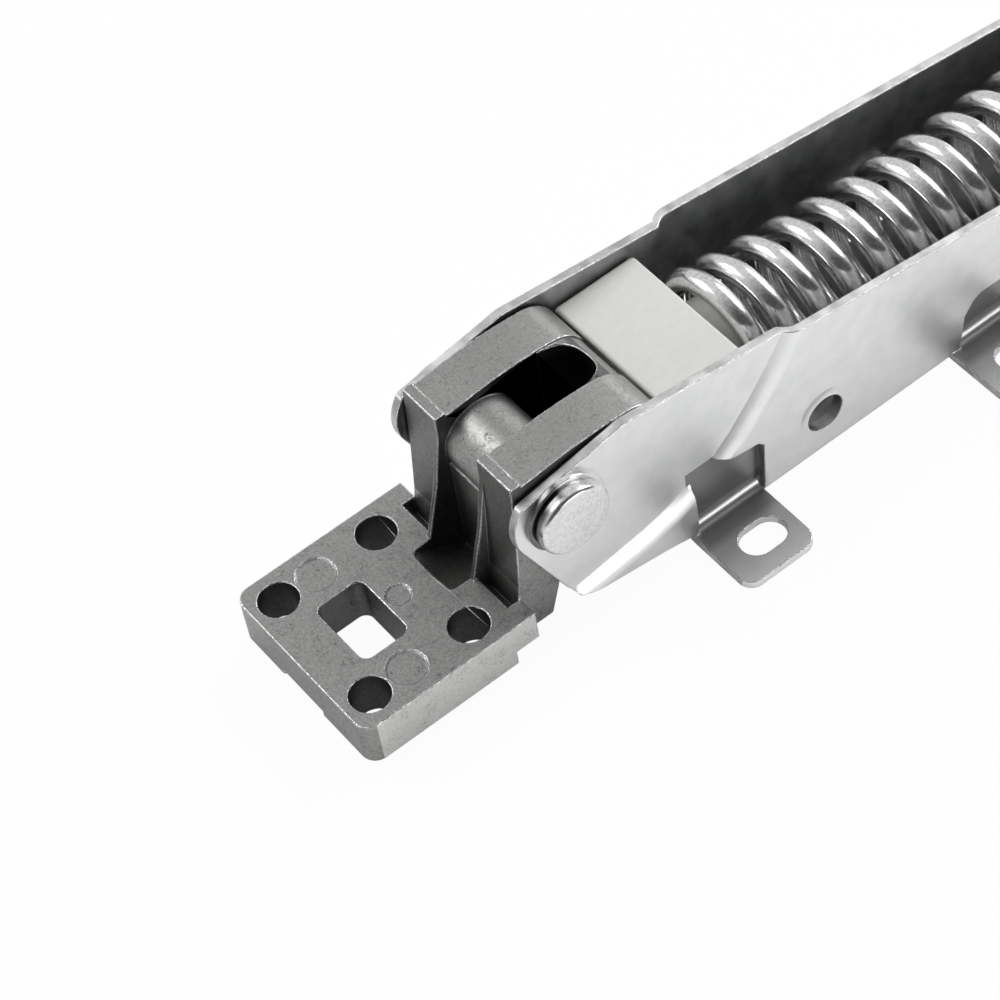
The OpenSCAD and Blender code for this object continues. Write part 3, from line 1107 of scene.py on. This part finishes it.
@dataclass
class CastArm:
    """Die-cast arm: mounting plate, gusset, cheeks and cam in one piece."""

    edge_round: float = 0.22
    cheek_in: float = 4.7
    cheek_top: float = 7.0
    cheek_end: tuple[float, float] = (-16.0, -15.0)
    pocket_x: tuple[float, float] = (5.5, 17.5)
    pocket_z: tuple[float, float] = (-8.0, 7.5)
    plate_half: float = 16.1
    holes: tuple[tuple[float, float], ...] = (
        (-34.35, -11.1),
        (-34.35, 11.1),
        (-16.65, -11.1),
        (-16.65, 11.1),
    )
    hole_r: float = 3.1
    finish: DieCastZinc = field(default_factory=DieCastZinc)
    rubbed: SparklingEdge = field(default_factory=lambda: SparklingEdge(name="rubbed_cast_edge"))
    side: DieCastZinc = field(
        default_factory=lambda: DieCastZinc(
            name="die_cast_zinc_paler_long_side",
            light="EAEAE8",
            dark="CCCCCA",
            pore="8A8A89",
            roughness=0.34,
        )
    )
    # painted shade: a darker copy of the cast finish for the recesses
    recess: DieCastZinc = field(
        default_factory=lambda: DieCastZinc(
            name="die_cast_zinc_recess_painted_shade", light="767675", dark="4E4E4D", pore="2A2A2A"
        )
    )

    def paint(self, mesh: bpy.types.Mesh) -> None:
        """Give the recesses painted shade, a darker copy of the cast finish.

        A face lies in a recess where its centre is on the wall of a screw hole, on a cheek's inner
        side or its end towards the plate, or in the pocket. The plate's two long sides get a paler
        finish.

        Args:
            mesh: the arm's mesh, in metres.
        """
        n = len(mesh.polygons)
        centre, normal = np.empty(n * 3), np.empty(n * 3)
        mesh.polygons.foreach_get("center", centre)
        mesh.polygons.foreach_get("normal", normal)
        centre, normal = centre.reshape(-1, 3) / MM, normal.reshape(-1, 3)
        x, y, z = centre.T
        cheek_side = (np.abs(np.abs(y) - self.cheek_in) < 0.1) & (x < 0) & (z < self.cheek_top)
        pocket = (
            (np.abs(y) < self.cheek_in + 0.05)
            & (x > self.pocket_x[0])
            & (x < self.pocket_x[1])
            & (z > self.pocket_z[0])
            & (z < self.pocket_z[1])
        )
        hole = np.zeros(n, bool)
        for hx, hy in self.holes:
            hole |= (np.hypot(x - hx, y - hy) < self.hole_r + 0.1) & (np.abs(normal[:, 2]) < 0.3)
        beyond = (x > self.cheek_end[0]) & (z > self.cheek_end[1])
        cheek_end = (normal[:, 0] < -0.8) & (np.abs(y) > self.cheek_in) & beyond
        # painted shade in the recesses
        index = np.where(cheek_side | cheek_end | pocket | hole, 2, 0).astype(np.int32)
        index[(np.abs(np.abs(y) - self.plate_half) < 0.05) & (np.abs(normal[:, 1]) > 0.9)] = 3
        mesh.polygons.foreach_set("material_index", index)

    def build(self) -> bpy.types.Object:
        """Make the dressed arm.

        Returns:
            The arm.
        """
        obj = merged_copy("hinge_arm", "cast_arm")
        for finish in (self.finish, self.rubbed, self.recess, self.side):
            obj.data.materials.append(finish.build())
        self.paint(obj.data)
        soften(obj, self.edge_round, 2, finish=1)
        return dress(obj, Body.ARM, Slot.CAST, obj.data.materials[0], "hinge_arm")


@dataclass
class PivotPin:
    """Turned pin with a chamfered head, a collar and a riveted end."""

    wall_y: float = 14.5
    head_r: float = 6.0
    chamfer: float = 0.45
    proud: float = 3.3
    collar_r: float = 6.7
    collar_t: float = 1.0
    shank_r: float = 4.0
    rivet_r: float = 5.5
    rivet_h: float = 1.8
    finish: BrightSteel = field(
        default_factory=lambda: BrightSteel(
            name="turned_pin_steel",
            roughness=0.2,
            # painted shade on the left half of the head and collar
            painted_shades=(PaintedShade((-9.0, -17.45, -9.0), (-0.5, -13.0, 9.0), 0.22, 0.9),),
        )
    )

    def profile(self) -> np.ndarray:
        """Radius and height of the turned outline, from the head's face to the rivet.

        Returns:
            The rounded outline in metres.
        """
        a, b = -self.wall_y, self.wall_y
        top = a - self.proud
        corners = [
            (0, top, 0),
            (self.head_r - self.chamfer, top, 0.25),
            (self.head_r, top + self.chamfer, 0.25),
            (self.head_r, a - self.collar_t - 0.35, 0.15),
            (self.head_r - 0.5, a - self.collar_t - 0.15, 0.1),
            (self.head_r - 0.4, a - self.collar_t, 0.05),
            (self.collar_r, a - self.collar_t, 0.25),
            (self.collar_r, a, 0.1),
            (self.shank_r, a, 0),
            (self.shank_r, b, 0),
            (self.rivet_r, b, 0.1),
            (self.rivet_r, b + self.rivet_h * 0.45, 0.4),
            (self.rivet_r - 1.6, b + self.rivet_h * 0.9, 0.6),
            (self.rivet_r - 3.2, b + self.rivet_h, 0.5),
            (0, b + self.rivet_h, 0),
        ]
        return rounded_profile(corners) * MM

    def build(self) -> bpy.types.Object:
        """Make the dressed pin.

        Returns:
            The pin.
        """
        obj = revolved("pivot_pin", self.profile(), (0, 0, 0))
        return dress(obj, Body.CHANNEL, Slot.PIN, self.finish.build(), "hinge_pin")


@dataclass
class CamSlider:
    """White block that the cam nose pushes against the spring."""

    edge_round: float = 0.6
    finish: MouldedAcetal = field(default_factory=MouldedAcetal)

    def build(self) -> bpy.types.Object:
        """Make the dressed slider.

        Returns:
            The slider.
        """
        obj = merged_copy("slider", "cam_slider")
        soften(obj, self.edge_round, 3)
        return dress(obj, Body.SLIDER, Slot.PLASTIC, self.finish.build(), "slider")


@dataclass
class CoilSpring:
    """Heavy compression spring with closed ends, bowed down on to the base."""

    start_x: float = 36.87
    end_x: float = 141.95
    wire_r: float = 1.9
    coil_r: float = 9.1
    turns: float = 17.0
    closed: float = 3.9
    phase_deg: float = 232.0
    front_z: float = -6.2
    rest_z: float = -11.45
    bow: float = 48.0
    steps: int = 64
    sides: int = 20
    finish: BrightSteel = field(
        default_factory=lambda: BrightSteel(name="bright_spring_wire", roughness=0.16)
    )

    def angle(self, t: np.ndarray) -> np.ndarray:
        """Angle of the wire round the coil after t turns, in radians from upright."""
        return np.radians(-360 * t + self.phase_deg)

    def centre_line(self, t: np.ndarray) -> np.ndarray:
        """Centre of the wire after t turns.

        x grows by the closed pitch over the first and last turn and evenly between them, the
        coil's middle bows down with the square of the way left to the end of the bow, and the
        wire turns left-handed at the mean radius.

        Args:
            t: turns from the front end.

        Returns:
            An array of points in millimetres.
        """
        pitch = (self.end_x - self.start_x - 2 * self.closed) / (self.turns - 2)
        x = np.interp(
            t,
            [0, 1, self.turns - 1, self.turns],
            [
                self.start_x,
                self.start_x + self.closed,
                self.start_x + self.closed + pitch * (self.turns - 2),
                self.end_x,
            ],
        )
        left = np.maximum(0, 1 - (x - self.start_x) / self.bow)
        middle = self.rest_z + (self.front_z - self.rest_z) * left**2
        a = self.angle(t)
        return np.stack([x, self.coil_r * np.sin(a), middle + self.coil_r * np.cos(a)], axis=-1)

    def build(self) -> bpy.types.Object:
        """Sweep a circle of the wire's radius along the centre line.

        Each ring lies in the plane of the coil's radial direction and of its cross product with
        the path's tangent.

        Returns:
            The spring, bowed between the slider and the rear seat.
        """
        t = np.linspace(0, self.turns, int(self.turns * self.steps) + 1)
        line = self.centre_line(t)
        tangent = np.gradient(line, axis=0)
        tangent /= np.linalg.norm(tangent, axis=1, keepdims=True)
        a = self.angle(t)
        out = np.stack([0 * a, np.sin(a), np.cos(a)], axis=-1)
        side = np.cross(tangent, out)
        side /= np.linalg.norm(side, axis=1, keepdims=True)
        out = np.cross(side, tangent)
        b = np.linspace(0, 2 * math.pi, self.sides, endpoint=False)
        ring = (
            line[:, None]
            + self.wire_r * np.cos(b)[None, :, None] * out[:, None]
            + self.wire_r * np.sin(b)[None, :, None] * side[:, None]
        )
        quads = grid_faces(len(t), self.sides, False, True).tolist()
        last = (len(t) - 1) * self.sides
        quads.append(list(range(self.sides)))
        quads.append([last + k for k in range(self.sides)])
        obj = surface_object("coil_spring", ring * MM, quads)
        obj.data.materials.append(self.finish.build())
        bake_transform(obj)
        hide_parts("spring")
        LOG.info("%s: %d faces", obj.name, len(obj.data.polygons))
        return obj


@dataclass
class RearSeat:
    """Plug that carries the spring at the rear end."""

    edge_round: float = 0.5
    finish: MouldedAcetal = field(
        default_factory=lambda: MouldedAcetal(name="moulded_acetal_seat")
    )

    def build(self) -> bpy.types.Object:
        """Make the dressed rear seat.

        Returns:
            The seat.
        """
        obj = merged_copy("spring_seat", "rear_spring_seat")
        soften(obj, self.edge_round, 3)
        return dress(obj, Body.CHANNEL, Slot.PLASTIC, self.finish.build(), "spring_seat")


# ---------------------------------------------------------------- studio


@dataclass(frozen=True)
class SoftBox:
    """One soft lamp: where it stands, what it points at, its size and power."""

    name: str
    place: tuple[float, float, float]
    target: tuple[float, float, float]
    size: tuple[float, float]
    watts: float

    def build(self) -> bpy.types.Object:
        """Make the lamp.

        Returns:
            The lamp's object.
        """
        lamp = bpy.data.lights.new(self.name, "AREA")
        lamp.shape = "RECTANGLE"
        lamp.size, lamp.size_y = self.size
        lamp.energy = self.watts
        obj = bpy.data.objects.new(self.name, lamp)
        bpy.context.scene.collection.objects.link(obj)
        obj.location = self.place
        way = Vector(self.target) - Vector(self.place)
        obj.rotation_euler = way.to_track_quat("-Z", "Y").to_euler()
        return obj


@dataclass
class Studio:
    """Camera at the photograph's angle, pale floor and soft light."""

    eye: tuple[float, float, float] = (-0.1595419, -0.2794330, 0.4013865)
    right: tuple[float, float, float] = (0.7829552, -0.6114512, -0.1144925)
    down: tuple[float, float, float] = (-0.5436322, -0.5830658, -0.6037369)
    ahead: tuple[float, float, float] = (0.3023990, 0.5349408, -0.7889190)
    focal_px: float = 3630.477
    floor_z: float = -0.0256
    boxes: tuple[SoftBox, ...] = (
        SoftBox("right_softbox", (0.9, 0.1, 0.55), (0.05, 0, 0), (0.6, 0.5), 6.5),
        SoftBox("back_softbox", (-0.45, 0.6, 0.7), (0.05, 0, 0), (0.5, 0.5), 3.5),
        SoftBox("front_softbox", (0.3, -0.85, 0.15), (0.05, 0, 0), (0.6, 0.3), 2.2),
    )
    dome_dark: str = "505050"
    dome_light: str = "DCDCDC"
    sensor_mm: float = 36.0
    frame_px: float = 1000.0
    floor_rings: tuple[float, ...] = (0.0, 0.5, 1.5, 6.0)
    floor_sides: int = 96

    def camera(self) -> bpy.types.Object:
        """Make the camera from the fitted eye, axes and focal length.

        Returns:
            The camera's object.
        """
        data = bpy.data.cameras.new("photo_camera")
        data.sensor_width = self.sensor_mm
        data.sensor_fit = "HORIZONTAL"
        data.lens = self.focal_px * self.sensor_mm / self.frame_px
        data.clip_start = 0.01
        obj = bpy.data.objects.new("photo_camera", data)
        bpy.context.scene.collection.objects.link(obj)
        axes = [Vector(self.right), -Vector(self.down), -Vector(self.ahead)]
        turn = Matrix([[axes[c][r] for c in range(3)] for r in range(3)]).to_4x4()
        obj.matrix_world = Matrix.Translation(Vector(self.eye)) @ turn
        bpy.context.scene.camera = obj
        return obj

    def floor(self) -> bpy.types.Object:
        """Make the round floor sheet under the hinge.

        Returns:
            The floor.
        """
        a = np.linspace(0, 2 * math.pi, self.floor_sides, endpoint=False)
        r = np.array(self.floor_rings)[:, None]
        points = np.stack([r * np.cos(a), r * np.sin(a), 0 * r * a + self.floor_z], axis=-1)
        quads = grid_faces(len(self.floor_rings), self.floor_sides, False, True)
        obj = surface_object("studio_floor", points, quads)
        obj.data.materials.append(PaleFloor().build())
        return obj

    def world(self) -> None:
        """White where the camera looks; a dome that is darker in front lights the hinge."""
        world = bpy.data.worlds.new("studio_world")
        bpy.context.scene.world = world
        world.use_nodes = True
        tree = world.node_tree
        tree.nodes.clear()
        path = add(tree, "ShaderNodeLightPath")
        way = add(tree, "ShaderNodeTexCoord")
        split = add(tree, "ShaderNodeSeparateXYZ", {0: way.outputs["Generated"]})
        side = add(
            tree,
            "ShaderNodeMapRange",
            {"Value": split.outputs[1], "From Min": -1.0, "From Max": 1.0},
        )
        shade = add(
            tree,
            "ShaderNodeValToRGB",
            {0: side.outputs[0]},
            stops=[(0.25, srgb(self.dome_dark)), (0.6, srgb(self.dome_light))],
        )
        dome = add(tree, "ShaderNodeBackground", {"Color": shade.outputs[0], "Strength": 1.0})
        white = add(tree, "ShaderNodeBackground", {"Color": srgb("FFFFFF"), "Strength": 1.0})
        mix = add(
            tree,
            "ShaderNodeMixShader",
            {0: path.outputs["Is Camera Ray"], 1: dome.outputs[0], 2: white.outputs[0]},
        )
        add(tree, "ShaderNodeOutputWorld", {"Surface": mix.outputs[0]})

    def build(self) -> None:
        """Make the whole studio."""
        self.camera()
        self.world()
        self.floor()
        for box in self.boxes:
            box.build()
        bpy.context.scene.view_settings.view_transform = "Standard"


def main() -> None:
    """Build the studio and each sub-assembly."""
    logging.basicConfig(level=logging.INFO, format="%(name)s %(message)s")
    Studio().build()
    builders: list[Callable[[], bpy.types.Object]] = [
        ChannelHousing().build,
        CastArm().build,
        PivotPin().build,
        CamSlider().build,
        CoilSpring().build,
        RearSeat().build,
    ]
    for build in builders:
        build()


if __name__ == "__main__":
    main()
